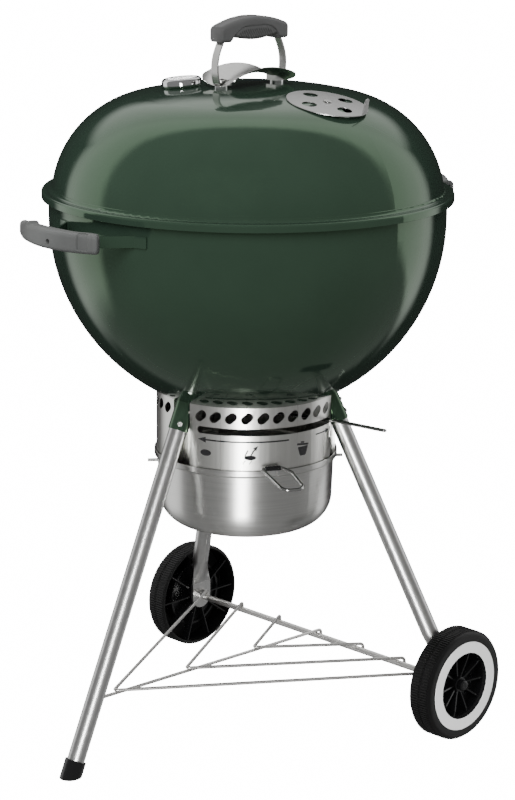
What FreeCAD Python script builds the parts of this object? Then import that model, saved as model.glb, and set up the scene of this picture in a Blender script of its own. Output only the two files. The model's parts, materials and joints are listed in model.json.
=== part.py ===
import FreeCAD, Part
import math
import os

# Kettle charcoal grill on a tripod with two wheels. Millimetres, +Z up.
# The origin is on the floor under the bowl's axis; the plain leg stands towards -Y,
# and the wheel axle runs along X behind the axis, at +Y.

V = FreeCAD.Vector
UP = V(0, 0, 1)
X_AXIS = V(1, 0, 0)
Y_AXIS = V(0, 1, 0)

# Sheet steel and running gaps
SHEET = 1.2
RUN_GAP = 0.08          # radial clearance of a shaft in its own hole
LOOSE_GAP = 0.3         # between bodies that lift apart

# Bowl: a hemisphere with a short straight wall and a rolled bead
BOWL_R = 284.4
BOWL_CENTRE_Z = 762.0
BEAD_Z = 795.5
BEAD_R = 4.0

# Lid: crown, shoulder and side arcs, tangent to each other, then a flange over the bead
LID_TOP_Z = 948.4
CROWN_R = 1955.0
CROWN_EDGE = 64.8
SHOULDER_R = 499.3
SHOULDER_SLOPE = math.radians(13.27)
SIDE_R = 152.6
RIM_OUTER_R = 294.3
RIM_BOTTOM_Z = 790.0
RIM_TOP_Z = 801.0

# Tripod
TUBE_R = 12.7
TUBE_WALL = 1.5
FRONT_LEG = (-90.0, 345.3, 0.4439)      # azimuth, radius at the floor, radius lost per mm of height
RIGHT_LEG = (30.8, 352.4, 0.4559)
LEFT_LEG = (149.2, 352.4, 0.4559)
SOCKET_R = 14.5
SOCKET_WALL = 1.6
SOCKET_BOTTOM_Z = 468.0
LEG_TOP_Z = 497.0

# Wheels and axle
WHEEL_R = 82.7
AXLE_Y = 160.6
AXLE_R = 4.7
WHEEL_FACE_X = 297.5
WHEEL_INNER_X = 260.0
PLATE_X = 256.0
PLATE_THICK = 4.0

# Ash ring, pot and sweep
RING_R = 131.0
RING_BOTTOM_Z = 411.0
RING_SHEET = 1.0
CHANNEL_HALF = math.radians(7.2)
CHANNEL_R = 104.0
HOLE_Z = 494.2
HOLE_PITCH = 10.0
HOLES_PER_PANEL = 10
SLOT_Z = 474.0
SLOT_HEIGHT = 10.0
SLOT_FROM = -77.0
SLOT_TO = 22.6
LEVER_AZ = 20.0
LEVER_TIP_R = 216.0
POT_TOP_Z = 418.0
POT_RIM_R = 134.0
POT_BOTTOM_Z = 307.0

# Wire
RACK_WIRE_R = 2.5
BAIL_WIRE_R = 2.3

# Grates
GRATE_R = 268.0
GRATE_Z = 755.8
GRATE_HINGE_X = 150.0
COAL_GRATE_R = 215.0
COAL_GRATE_Z = 583.0


def polar(radius, azimuth_deg, z=0.0):
    a = math.radians(azimuth_deg)
    return V(radius * math.cos(a), radius * math.sin(a), z)


def spun(shape, angle, centre=V(0, 0, 0), axis=UP):
    copy = shape.copy()
    copy.rotate(centre, axis, angle)
    return copy


def moved(shape, offset):
    copy = shape.copy()
    copy.translate(offset)
    return copy


def placed(shape, base, direction, turn_deg=0.0):
    """Local +Z goes to direction, after a turn about it."""
    copy = shape.copy()
    turn = FreeCAD.Rotation(UP, turn_deg)
    copy.Placement = FreeCAD.Placement(base, FreeCAD.Rotation(UP, direction) * turn)
    return copy


def cylinder(radius, start, end):
    axis = end - start
    return Part.makeCylinder(radius, axis.Length, start, axis)


def tube(outer_r, inner_r, start, end):
    return cylinder(outer_r, start, end).cut(cylinder(inner_r, start, end))


def box(low, high):
    size = high - low
    return Part.makeBox(size.x, size.y, size.z, low)


def fuse(shapes):
    if len(shapes) == 1:
        return shapes[0]
    return shapes[0].multiFuse(shapes[1:]).removeSplitter()


def group(shapes):
    return Part.makeCompound(shapes)


def rounded_path(points, radii):
    """Straight edges with a tangent arc at each inner point; radii has one value per inner point."""
    edges = []
    here = points[0]
    for before, corner, after, radius in zip(points, points[1:], points[2:], radii):
        u = (before - corner).normalize()
        w = (after - corner).normalize()
        half = u.getAngle(w) / 2
        reach = radius / math.tan(half)
        start = corner + u * reach
        end = corner + w * reach
        middle = corner + (u + w).normalize() * (radius / math.sin(half) - radius)
        if (start - here).Length > 1e-6:
            edges.append(Part.LineSegment(here, start).toShape())
        edges.append(Part.Arc(start, middle, end).toShape())
        here = end
    edges.append(Part.LineSegment(here, points[-1]).toShape())
    return Part.Wire(edges)


def wire_rod(points, radii, radius):
    path = rounded_path(points, radii)
    direction = points[1] - points[0]
    section = Part.Wire(Part.makeCircle(radius, points[0], direction))
    return path.makePipeShell([section], True, True)


def closed_outline(points, radii):
    """Closed planar face through points, each corner rounded by its own radius."""
    middle = (points[0] + points[-1]) * 0.5
    loop = [middle] + points + [middle]
    return Part.Face(rounded_path(loop, radii))


def strap(points, radii, thickness, width_vector):
    """Flat strip bent along a planar path, as wide as width_vector."""
    path = rounded_path(points, radii)
    face = path.makeOffset2D(thickness, 0, True, True)
    return face.extrude(width_vector)


def revolve(face):
    return face.revolve(V(0, 0, 0), UP, 360)


def ring_face(points):
    return Part.Face(Part.makePolygon(points + [points[0]]))


def ring_sector(inner_r, outer_r, z0, z1, start_deg, sweep_deg):
    outline = [V(inner_r, 0, z0), V(outer_r, 0, z0), V(outer_r, 0, z1), V(inner_r, 0, z1)]
    sector = ring_face(outline).revolve(V(0, 0, 0), UP, sweep_deg)
    return spun(sector, start_deg)


# Lid arcs: centres from the tangency of crown, shoulder and side
CROWN_SLOPE = math.asin(CROWN_EDGE / CROWN_R)
SHOULDER_C = (math.sin(CROWN_SLOPE) * (CROWN_R - SHOULDER_R),
              LID_TOP_Z - CROWN_R + math.cos(CROWN_SLOPE) * (CROWN_R - SHOULDER_R))
SIDE_C = (SHOULDER_C[0] + math.sin(SHOULDER_SLOPE) * (SHOULDER_R - SIDE_R),
          SHOULDER_C[1] + math.cos(SHOULDER_SLOPE) * (SHOULDER_R - SIDE_R))


def arc_point(centre, radius, slope):
    return V(centre[0] + radius * math.sin(slope), 0, centre[1] + radius * math.cos(slope))


def lid_dome(inset, foot_z):
    """Solid under the lid's outer surface, moved inwards by inset and cut off level at foot_z."""
    crown_c = (0.0, LID_TOP_Z - CROWN_R)
    side_r = SIDE_R - inset
    side_end = math.acos((foot_z - SIDE_C[1]) / side_r)
    arcs = [(crown_c, CROWN_R - inset, 0.0, CROWN_SLOPE),
            (SHOULDER_C, SHOULDER_R - inset, CROWN_SLOPE, SHOULDER_SLOPE),
            (SIDE_C, side_r, SHOULDER_SLOPE, side_end)]
    edges = []
    for centre, radius, first, last in arcs:
        stops = [arc_point(centre, radius, s) for s in (first, (first + last) / 2, last)]
        edges.append(Part.Arc(*stops).toShape())
    foot = arc_point(SIDE_C, side_r, side_end)
    edges.append(Part.LineSegment(foot, V(0, 0, foot_z)).toShape())
    edges.append(Part.LineSegment(V(0, 0, foot_z), V(0, 0, LID_TOP_Z - inset)).toShape())
    return revolve(Part.Face(Part.Wire(edges)))


def lid_surface(radius, azimuth_deg):
    """Point and outward normal on the lid's outer surface, within the shoulder."""
    slope = math.asin((radius - SHOULDER_C[0]) / SHOULDER_R)
    z = SHOULDER_C[1] + SHOULDER_R * math.cos(slope)
    outward = polar(1, azimuth_deg)
    return polar(radius, azimuth_deg, z), outward * math.sin(slope) + UP * math.cos(slope)


def bowl_solid(inset):
    """Everything inside the bowl's outer surface moved inwards by inset, up to the bead's centre."""
    radius = BOWL_R - inset
    ball = Part.makeSphere(radius, V(0, 0, BOWL_CENTRE_Z))
    upper = Part.makeCylinder(radius, BEAD_Z - BOWL_CENTRE_Z, V(0, 0, BOWL_CENTRE_Z))
    cutter = Part.makeCylinder(2 * radius, 2 * radius, V(0, 0, BOWL_CENTRE_Z))
    return ball.cut(cutter).fuse(upper)


def leg_point(leg, z):
    azimuth, floor_r, lost = leg
    return polar(floor_r - lost * z, azimuth, z)


def leg_direction(leg):
    return (leg_point(leg, 100) - leg_point(leg, 0)).normalize()


# Damper: centre and normal of the vent on the lid
VENT_R = 150.0
VENT_AZ = 0.5
DAMPER_R = 57.0
DAMPER_DISH_R = 744.0
DAMPER_SHEET = 1.0
DAMPER_GAP = 0.6
VENT_RING_R = 34.5
VENT_HOLE_R = 10.5
VENT_FIRST = -3.5
VENT_OFFSET = 20.0
THERMO_R = 94.5
THERMO_AZ = -133.9
THERMO_CASE_R = 28.5
THERMO_CASE_H = 12.0
HANDLE_AZ = 88.0
BOLT_R = 3.0
BOLT_Y = 54.0


def vent_holes(offset_deg):
    holes = []
    for k in range(4):
        centre = polar(VENT_RING_R, VENT_FIRST + offset_deg + 90 * k, -30)
        holes.append(Part.makeCylinder(VENT_HOLE_R, 60, centre))
    return holes


def lid_shell():
    foot_z = RIM_TOP_Z - SHEET
    shell = lid_dome(0, foot_z).cut(lid_dome(SHEET, foot_z - 1))
    inner_r = arc_point(SIDE_C, SIDE_R - SHEET, math.acos((foot_z - SIDE_C[1]) / (SIDE_R - SHEET))).x
    skirt_r = RIM_OUTER_R - SHEET
    outline = [V(inner_r, 0, RIM_TOP_Z), V(RIM_OUTER_R, 0, RIM_TOP_Z), V(RIM_OUTER_R, 0, RIM_BOTTOM_Z),
               V(skirt_r, 0, RIM_BOTTOM_Z), V(skirt_r, 0, foot_z), V(inner_r, 0, foot_z)]
    flange = revolve(closed_outline(outline, [0.3, 3.5, 0.4, 0.4, 2.3, 0.3]))
    flare_c = V(RIM_OUTER_R - 9.5, 0, RIM_TOP_Z + 5.0)
    flare = revolve(ring_face([V(279.2, 0, RIM_TOP_Z - 0.5), V(285.2, 0, RIM_TOP_Z - 0.5),
                               V(279.2, 0, RIM_TOP_Z + 5.5)]))
    flare = flare.cut(Part.makeTorus(flare_c.x, 5.0, V(0, 0, flare_c.z)))
    shell = fuse([shell, flange, flare.cut(lid_dome(SHEET, foot_z - 1))])
    cuts = []
    vent_p, vent_n = lid_surface(VENT_R, VENT_AZ)
    for hole in vent_holes(VENT_OFFSET):
        cuts.append(placed(hole, vent_p, vent_n, VENT_AZ))
    cuts.append(placed(Part.makeCylinder(3.1, 40, V(0, 0, -20)), vent_p, vent_n))
    thermo_p, thermo_n = lid_surface(THERMO_R, THERMO_AZ)
    cuts.append(placed(Part.makeCylinder(5.0, 40, V(0, 0, -20)), thermo_p, thermo_n))
    for side in (-1, 1):
        bolt = Part.makeCylinder(BOLT_R + 0.3, 60, V(0, side * BOLT_Y, LID_TOP_Z - 40))
        cuts.append(spun(bolt, HANDLE_AZ - 90))
    return shell.cut(group(cuts))


# Lid handle, modelled along Y and turned to HANDLE_AZ
SPACER_TOP_Z = 951.0
SHIELD_SHEET = 1.0
STRAP_THICK = 2.5
STRAP_WIDTH = 13.0
STRAP_FOOT_Z = SPACER_TOP_Z + SHIELD_SHEET
SHIELD_TOP_Z = 976.0
SHIELD_ARCH_R = 135.6
GRIP_TOP_Z = 1045.5
GRIP_END_Y = 63.0
GRIP_WIDTH = 26.0


def handle_turned(shape):
    return spun(shape, HANDLE_AZ - 90)


def lid_handle_strap():
    foot_z = STRAP_FOOT_Z + STRAP_THICK
    half = [V(0, 47, foot_z), V(0, 61, foot_z), V(0, 68, 982), V(0, 49, 1021)]
    other = [V(0, -p.y, p.z) for p in reversed(half)]
    path = half + other
    body = strap(path, [3.5, 60, 8, 8, 60, 3.5], STRAP_THICK, V(STRAP_WIDTH, 0, 0))
    body = moved(body, V(-STRAP_WIDTH / 2, 0, 0))
    holes = [Part.makeCylinder(BOLT_R + 0.3, 20, V(0, s * BOLT_Y, STRAP_FOOT_Z - 10)) for s in (-1, 1)]
    return body.cut(group(holes))


def lid_grip(strap_body):
    end = GRIP_END_Y
    top = Part.Arc(V(0, -end, 1027), V(0, 0, GRIP_TOP_Z), V(0, end, 1027)).toShape()
    belly = Part.Arc(V(0, 41, 1018), V(0, 0, 1012.5), V(0, -41, 1018)).toShape()
    right = [V(0, end, 1027), V(0, end - 1, 1012), V(0, 47, 1012), V(0, 41, 1018)]
    left = [V(0, -p.y, p.z) for p in reversed(right)]
    sides = [Part.makePolygon(right), Part.makePolygon(left)]
    wire = Part.Wire([top] + sides[0].Edges + [belly] + sides[1].Edges)
    body = Part.Face(wire).extrude(V(GRIP_WIDTH, 0, 0))
    body = moved(body, V(-GRIP_WIDTH / 2, 0, 0))
    long_edges = [e for e in body.Edges if e.BoundBox.XLength < 0.01 and e.BoundBox.YLength > 60]
    body = body.makeFillet(5.0, [e for e in long_edges if e.BoundBox.ZMax > GRIP_TOP_Z - 1])
    return body.cut(strap_body)


def heat_shield():
    """Saddle plate over the lid: arched along the handle, dished across it, on two pressed feet."""
    rise = 10.0
    half_w = 36.0
    half_l = 62.0
    low = SHIELD_TOP_Z - rise
    axis_z = low - SHIELD_ARCH_R
    turn = math.degrees(math.asin(half_l / SHIELD_ARCH_R))

    def under(thickness):
        top = Part.Arc(V(-half_w, 0, low + rise - thickness), V(0, 0, low - thickness),
                       V(half_w, 0, low + rise - thickness)).toShape()
        rest = Part.makePolygon([V(half_w, 0, low + rise - thickness), V(half_w, 0, axis_z + 60),
                                 V(-half_w, 0, axis_z + 60), V(-half_w, 0, low + rise - thickness)])
        face = Part.Face(Part.Wire([top] + rest.Edges))
        face.rotate(V(0, 0, axis_z), X_AXIS, -turn)
        return face.revolve(V(0, 0, axis_z), X_AXIS, 2 * turn)

    outer = under(0)
    plate = outer.cut(under(SHIELD_SHEET))
    plan = box(V(-half_w, -half_l, 900), V(half_w, half_l, 1000))
    plan = plan.makeFillet(9.0, [e for e in plan.Edges if e.BoundBox.ZLength > 50])
    plate = plate.common(plan)
    for side in (-1, 1):
        near, far = sorted((side * 43.0, side * 66.0))
        pocket = box(V(-10, near, SPACER_TOP_Z), V(10, far, 970))
        hollow_near = near + 1 if side > 0 else near - 5
        hollow_far = far + 5 if side > 0 else far - 1
        hollow = box(V(-9, hollow_near, STRAP_FOOT_Z), V(9, hollow_far, 990))
        bolt = Part.makeCylinder(BOLT_R + 0.3, 40, V(0, side * BOLT_Y, 940))
        plate = plate.fuse(pocket.common(outer)).cut(hollow).cut(bolt)
    return plate.removeSplitter()


def lid_handle_hardware(shield):
    spacers = []
    bolts = []
    nuts = []
    lid_outer = lid_dome(0, 900)
    lid_inner = lid_dome(SHEET, 899)
    for side in (-1, 1):
        foot = V(0, side * BOLT_Y, 0)
        spacer = tube(10.0, BOLT_R + 0.3, foot + V(0, 0, 940), foot + V(0, 0, SPACER_TOP_Z))
        spacers.append(spacer.cut(lid_outer).cut(shield))
        shaft = cylinder(BOLT_R, foot + V(0, 0, 936), foot + V(0, 0, STRAP_FOOT_Z + STRAP_THICK))
        head = cylinder(5.5, foot + V(0, 0, STRAP_FOOT_Z + STRAP_THICK),
                        foot + V(0, 0, STRAP_FOOT_Z + STRAP_THICK + 3.5))
        bolts.append(shaft.fuse(head).removeSplitter())
        nut = tube(6.0, BOLT_R, foot + V(0, 0, 941), foot + V(0, 0, 948))
        nuts.append(nut.common(lid_inner))
    return group(spacers), group(bolts), group(nuts)


def thermometer():
    """Bezel, dial, glass, needle, stem and nut in their own axes: +Z out of the lid, 0 on its surface."""
    r = THERMO_CASE_R
    case = Part.makeCylinder(r, THERMO_CASE_H + 1, V(0, 0, -1.0))
    round_edges = [e for e in case.Edges if isinstance(e.Curve, Part.Circle)]
    case = case.makeFillet(4.5, round_edges)
    window = Part.makeCylinder(22.0, 10, V(0, 0, 6.0))
    bezel = case.cut(window).cut(Part.makeCylinder(3.0, 20, V(0, 0, -5)))
    dial = tube(21.95, 1.0, V(0, 0, 6.0), V(0, 0, 7.0))
    glass = Part.makeCylinder(21.95, 1.5, V(0, 0, 10.0))
    pivot = Part.makeCylinder(0.95, 5.5, V(0, 0, 3.5))
    blade = box(V(-5, -0.8, 8.2), V(17, 0.8, 9.0))
    needle = pivot.fuse(Part.makeCylinder(2.2, 1.0, V(0, 0, 8.1))).fuse(blade).removeSplitter()
    stem = Part.makeCylinder(3.0, 60.9, V(0, 0, -55))
    stem = stem.cut(Part.makeCylinder(1.0, 10, V(0, 0, 3.0)))
    nut = tube(9.0, 3.0, V(0, 0, -5.5), V(0, 0, -SHEET - 0.3))
    return bezel, dial, glass, needle, stem, nut


def damper_disc():
    """Dished disc in vent axes; the dish's lowest underside point clears the lid by DAMPER_GAP."""
    low = DAMPER_GAP
    outer_c = V(0, 0, low + DAMPER_SHEET - DAMPER_DISH_R)
    outer = Part.makeSphere(DAMPER_DISH_R, outer_c)
    inner = Part.makeSphere(DAMPER_DISH_R - DAMPER_SHEET, outer_c)
    blank = Part.makeCylinder(DAMPER_R, 30, V(0, 0, -15))
    disc = blank.common(outer).cut(inner)
    cuts = vent_holes(0) + [Part.makeCylinder(3.0 + RUN_GAP, 20, V(0, 0, -10))]
    disc = disc.cut(group(cuts))
    tab = box(V(DAMPER_R - 1.5, -7.5, -2.0), V(DAMPER_R, 7.5, 20.0))
    tab = tab.makeFillet(5.0, [e for e in tab.Edges if e.BoundBox.XLength > 1 and e.BoundBox.ZMin > 19])
    tab = tab.cut(inner)
    return fuse([disc, spun(tab, 20)])


def damper_rivet():
    top = DAMPER_GAP + DAMPER_SHEET
    shaft = Part.makeCylinder(3.0, top + 4.2, V(0, 0, -3.2))
    head = Part.makeCylinder(6.0, 1.8, V(0, 0, top + 0.15))
    head = head.makeFillet(1.0, [e for e in head.Edges if e.BoundBox.ZMin > top + 1.5])
    tail = Part.makeCylinder(6.0, 1.6, V(0, 0, -SHEET - 2.0))
    return fuse([shaft, head, tail])


def lid_hook():
    """Hanging hook welded inside the lid."""
    azimuth = 100.0
    start = arc_point(SIDE_C, SIDE_R - SHEET, math.radians(60))
    points = [V(start.x - 1, 0, start.z), V(start.x - 22, 0, start.z - 6), V(start.x - 22, 0, start.z - 34)]
    body = moved(strap(points, [6], 3.0, V(0, 18, 0)), V(0, -9, 0))
    return spun(body.common(lid_dome(SHEET, 790)), azimuth)


# Bowl and what is welded to it
VENT_SLOT_AZ = 45.0
BLADE_OFFSET = 0.0


def bowl():
    shell = bowl_solid(0).cut(bowl_solid(SHEET))
    lift = Part.makeCylinder(2 * BOWL_R, 20, V(0, 0, BEAD_Z))
    shell = shell.cut(lift)
    inner_r = BOWL_R - SHEET
    centre = V(inner_r + BEAD_R, 0, BEAD_Z)

    def around(radius, angle_deg):
        a = math.radians(angle_deg)
        return centre + V(radius * math.cos(a), 0, radius * math.sin(a))

    thin = BEAD_R - SHEET
    outer = Part.Arc(around(BEAD_R, 180), around(BEAD_R, 50), around(BEAD_R, -80)).toShape()
    inner = Part.Arc(around(thin, -80), around(thin, 50), around(thin, 180)).toShape()
    ends = [Part.LineSegment(around(BEAD_R, -80), around(thin, -80)).toShape(),
            Part.LineSegment(around(thin, 180), around(BEAD_R, 180)).toShape()]
    bead = revolve(Part.Face(Part.Wire([outer, ends[0], inner, ends[1]])))
    shell = fuse([shell, bead])
    slot = fuse([box(V(48, -13, 470), V(104, 13, 520)),
                 Part.makeCylinder(13, 50, V(48, 0, 470)), Part.makeCylinder(13, 50, V(104, 0, 470))])
    cuts = [spun(slot, VENT_SLOT_AZ + 120 * k) for k in range(3)]
    cuts.append(Part.makeCylinder(5.0, 40, V(0, 0, 460)))
    return shell.cut(group(cuts))


def leg_socket(leg, button_az):
    direction = leg_direction(leg)
    bottom = leg_point(leg, SOCKET_BOTTOM_Z)
    top = bottom + direction * 60
    body = tube(SOCKET_R, SOCKET_R - SOCKET_WALL, bottom, top)
    body = body.cut(bowl_solid(0))
    return body.cut(button_shape(leg, button_az, 3.4, 4.0, 30.0))


def button_frame(leg, button_az):
    """Point on the leg's axis and outward direction of its push button."""
    direction = leg_direction(leg)
    outward = polar(1, button_az)
    outward = (outward - direction * outward.dot(direction)).normalize()
    return leg_point(leg, SOCKET_BOTTOM_Z + 8.0), outward


def button_shape(leg, button_az, radius, inner, outer):
    centre, outward = button_frame(leg, button_az)
    return cylinder(radius, centre + outward * inner, centre + outward * outer)


def leg_button(leg, button_az):
    """Round button through leg and socket, with a flange inside the tube."""
    inner_face = TUBE_R - TUBE_WALL - 0.6
    pin = button_shape(leg, button_az, 3.3, inner_face - 1.5, SOCKET_R + 3.0)
    flange = button_shape(leg, button_az, 4.8, inner_face - 2.7, inner_face - 1.5)
    return pin.fuse(flange).removeSplitter()


def straight_leg():
    direction = leg_direction(FRONT_LEG)
    start = leg_point(FRONT_LEG, 8)
    end = leg_point(FRONT_LEG, LEG_TOP_Z)
    body = tube(TUBE_R, TUBE_R - TUBE_WALL, start, end)
    keep_out = Part.makeSphere(BOWL_R + 0.5, V(0, 0, BOWL_CENTRE_Z))
    body = body.cut(keep_out)
    wire_hole = cylinder(RACK_WIRE_R + 0.1, V(0, -300, rack_z(-300)), V(0, -262, rack_z(-262)))
    return body.cut(wire_hole)


def obround(half_width, half_thick, centre):
    """Flat section across Y, thin in X, with round ends, level at centre."""
    straight = half_width - half_thick
    a = centre + V(half_thick, -straight, 0)
    b = centre + V(half_thick, straight, 0)
    c = centre + V(-half_thick, straight, 0)
    d = centre + V(-half_thick, -straight, 0)
    return Part.Wire([Part.LineSegment(a, b).toShape(),
                      Part.Arc(b, centre + V(0, half_width, 0), c).toShape(),
                      Part.LineSegment(c, d).toShape(),
                      Part.Arc(d, centre + V(0, -half_width, 0), a).toShape()])


def wheel_leg(leg):
    """Round tube, crushed flat towards its lower end, where the axle passes through."""
    side = 1 if leg is RIGHT_LEG else -1
    bend_z = 150.0
    flat_z = 106.0
    start = leg_point(leg, bend_z)
    end = leg_point(leg, LEG_TOP_Z)
    direction = leg_direction(leg)
    body = tube(TUBE_R, TUBE_R - TUBE_WALL, start - direction * 8, end)
    body = body.cut(Part.makeSphere(BOWL_R + 0.5, V(0, 0, BOWL_CENTRE_Z)))
    level = box(V(-400, -400, bend_z), V(400, 400, 600))
    body = body.common(level)
    plate_mid = side * (PLATE_X + PLATE_THICK / 2)
    stretch = 1 / direction.z
    radial = polar(1, leg[0])
    upper = Part.Ellipse(start + radial * TUBE_R * stretch, start + V(-radial.y, radial.x, 0) * TUBE_R, start)
    upper_wire = Part.Wire(upper.toShape())
    lower_wire = obround(19.5, PLATE_THICK / 2, V(plate_mid, AXLE_Y, flat_z))
    crushed = Part.makeLoft([upper_wire, lower_wire], True)
    plate = box(V(plate_mid - 2, AXLE_Y - 19.4, WHEEL_R - 1), V(plate_mid + 2, AXLE_Y + 19.4, flat_z))
    end_round = cylinder(19.4, V(plate_mid - 2, AXLE_Y, WHEEL_R), V(plate_mid + 2, AXLE_Y, WHEEL_R))
    foot = fuse([plate, end_round])
    body = fuse([body, crushed, foot])
    return body.cut(cylinder(AXLE_R + 0.02, V(plate_mid - 10, AXLE_Y, WHEEL_R), V(plate_mid + 10, AXLE_Y, WHEEL_R)))


def foot_cap():
    direction = leg_direction(FRONT_LEG)
    low = leg_point(FRONT_LEG, -12)
    top = leg_point(FRONT_LEG, 22)
    seat = leg_point(FRONT_LEG, 8)
    body = cylinder(15.3, low, top).cut(cylinder(TUBE_R, seat, top + direction * 5))
    floor_cut = box(V(-40, -420, -60), V(40, -280, 0))
    return body.cut(floor_cut)


def socket_pins(pins):
    rivets = []
    for leg, azimuth in pins:
        direction = leg_direction(leg)
        outward = polar(1, azimuth)
        outward = (outward - direction * outward.dot(direction)).normalize()
        centre = leg_point(leg, 494)
        shaft = cylinder(2.0, centre + outward * (SOCKET_R - 0.3), centre + outward * (SOCKET_R + 1.6))
        skin = cylinder(SOCKET_R, leg_point(leg, 470), leg_point(leg, 520))
        rivets.append(shaft.cut(skin))
    return group(rivets)


# Wire rack between the front leg and the axle
RACK_FRONT_Y = -286.0
RACK_AXLE_Z = WHEEL_R + AXLE_R + RACK_WIRE_R + 0.1
RACK_FRONT_Z = 103.2


def rack_z(y):
    share = (y - RACK_FRONT_Y) / (AXLE_Y - RACK_FRONT_Y)
    return RACK_FRONT_Z + (RACK_AXLE_Z - RACK_FRONT_Z) * share


def over_axle(start, direction):
    """Path over the axle and down behind it, in the vertical plane of a level direction."""
    step = direction * (8.5 / direction.y)
    corner = V(start.x, AXLE_Y, RACK_AXLE_Z) + step
    tip = corner + step * 0.12 + V(0, 0, -11)
    return [corner, tip]


def rack_spine():
    front = V(0, RACK_FRONT_Y, rack_z(RACK_FRONT_Y))
    corner, tip = over_axle(V(0, 0, 0), Y_AXIS)
    return wire_rod([front, corner, tip], [5.0], RACK_WIRE_R)


RACK_APEX_Y = (-262.9, -120.2, 20.7)
RACK_SPREAD = 0.593
RACK_HALF_MAX = 247.5     # clear of the legs' flattened ends


def rack_vee(apex_y):
    apex_z = rack_z(apex_y) + 2 * RACK_WIRE_R
    apex = V(0, apex_y, apex_z)
    half = min(RACK_SPREAD * (AXLE_Y - apex_y), RACK_HALF_MAX)
    points = []
    for side in (-1, 1):
        direction = V(side * half, AXLE_Y - apex_y, 0).normalize()
        corner, tip = over_axle(V(side * half, 0, 0), direction)
        arm = [tip, corner]
        points.append(arm if side < 0 else list(reversed(arm)))
    path = points[0] + [apex] + points[1]
    return wire_rod(path, [5.0, 4.0, 5.0], RACK_WIRE_R)


# Side handles, modelled for the front one and then turned about the axis
HANDLE_TURN = -1.5
HANDLE_Z0 = 759.5
GRIP_H = 28.0
GRIP_OUTER_Y = -372.0
GRIP_ARC_R = 125.0
GRIP_HALF = 79.5
GRIP_THICK = 17.0
GRIP_BOSS_HALF = 26.0
BRACKET_Z0 = 759.5
BRACKET_H = 16.0
BRACKET_THICK = 2.5
BRACKET_BAR_Y = -320.0
BRACKET_BAR_HALF = 37.0
WELD_AZ = 14.3
WELD_LENGTH = 24.0
SCREW_X = -15.0
SCREW_Z = 771.0


def arch_points(radius, half_x):
    """Left end, middle and right end of an arc about the side grip's own centre."""
    centre_y = GRIP_OUTER_Y + GRIP_ARC_R
    end_y = centre_y - math.sqrt(radius ** 2 - half_x ** 2)
    return V(-half_x, end_y, 0), V(0, centre_y - radius, 0), V(half_x, end_y, 0)


def bracket():
    """Strip welded to the bowl at both ends: two arms that close in, and a bar across."""
    weld = polar(BOWL_R, -90 + WELD_AZ)
    corner = V(BRACKET_BAR_HALF, BRACKET_BAR_Y, 0)
    path = [V(-weld.x, weld.y, 0), V(-corner.x, corner.y, 0), corner, weld]
    bar = strap(path, [6, 6], BRACKET_THICK, V(0, 0, BRACKET_H))
    pieces = [bar]
    spread = math.degrees(WELD_LENGTH / BOWL_R)
    for start in (-90 + WELD_AZ - 1.0, -90 - WELD_AZ + 1.0 - spread):
        pieces.append(ring_sector(BOWL_R, BOWL_R + BRACKET_THICK, 0, BRACKET_H, start, spread))
    body = moved(fuse(pieces), V(0, 0, BRACKET_Z0)).cut(bowl_solid(0))
    return body.cut(cylinder(2.5, V(SCREW_X, BRACKET_BAR_Y - 5, SCREW_Z), V(SCREW_X, BRACKET_BAR_Y + 5, SCREW_Z)))


def side_grip():
    outer = arch_points(GRIP_ARC_R, GRIP_HALF)
    inner = arch_points(GRIP_ARC_R - GRIP_THICK, GRIP_HALF - 12)
    face = Part.Face(Part.Wire([Part.Arc(*outer).toShape(), Part.LineSegment(outer[2], inner[2]).toShape(),
                                Part.Arc(inner[2], inner[1], inner[0]).toShape(),
                                Part.LineSegment(inner[0], outer[0]).toShape()]))
    body = moved(face.extrude(V(0, 0, GRIP_H)), V(0, 0, HANDLE_Z0))
    rims = [e for e in body.Edges if e.BoundBox.XLength > 140 and e.BoundBox.YMin < GRIP_OUTER_Y + 1]
    body = body.makeFillet(6.0, rims)
    boss = box(V(-GRIP_BOSS_HALF, inner[1].y - 6, HANDLE_Z0 + 1),
               V(GRIP_BOSS_HALF, BRACKET_BAR_Y - BRACKET_THICK, HANDLE_Z0 + GRIP_H - 5))
    body = fuse([body, boss])
    recess = cylinder(4.0, V(SCREW_X, GRIP_OUTER_Y - 1, SCREW_Z), V(SCREW_X, GRIP_OUTER_Y + 12, SCREW_Z))
    through = cylinder(2.5, V(SCREW_X, GRIP_OUTER_Y - 1, SCREW_Z), V(SCREW_X, BRACKET_BAR_Y + 5, SCREW_Z))
    return body.cut(recess).cut(through)


def side_screw():
    head = cylinder(3.8, V(SCREW_X, GRIP_OUTER_Y + 9, SCREW_Z), V(SCREW_X, GRIP_OUTER_Y + 12, SCREW_Z))
    shaft = cylinder(2.4, V(SCREW_X, GRIP_OUTER_Y + 12, SCREW_Z), V(SCREW_X, BRACKET_BAR_Y + 1, SCREW_Z))
    return head.fuse(shaft).removeSplitter()


# Ash ring, pot and bail
PANEL_MID = (-29.6, 90.0, 210.8)
LEGS = (FRONT_LEG, RIGHT_LEG, LEFT_LEG)


def ring_wedge(azimuth, inner_r, half, z0, z1):
    reach = 160.0
    a = [polar(inner_r, 0), polar(inner_r / math.cos(half), math.degrees(half)),
         polar(reach, math.degrees(half)), polar(reach, -math.degrees(half)),
         polar(inner_r / math.cos(half), -math.degrees(half))]
    prism = ring_face(a).extrude(V(0, 0, z1 - z0))
    return moved(spun(prism, azimuth), V(0, 0, z0))


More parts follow.
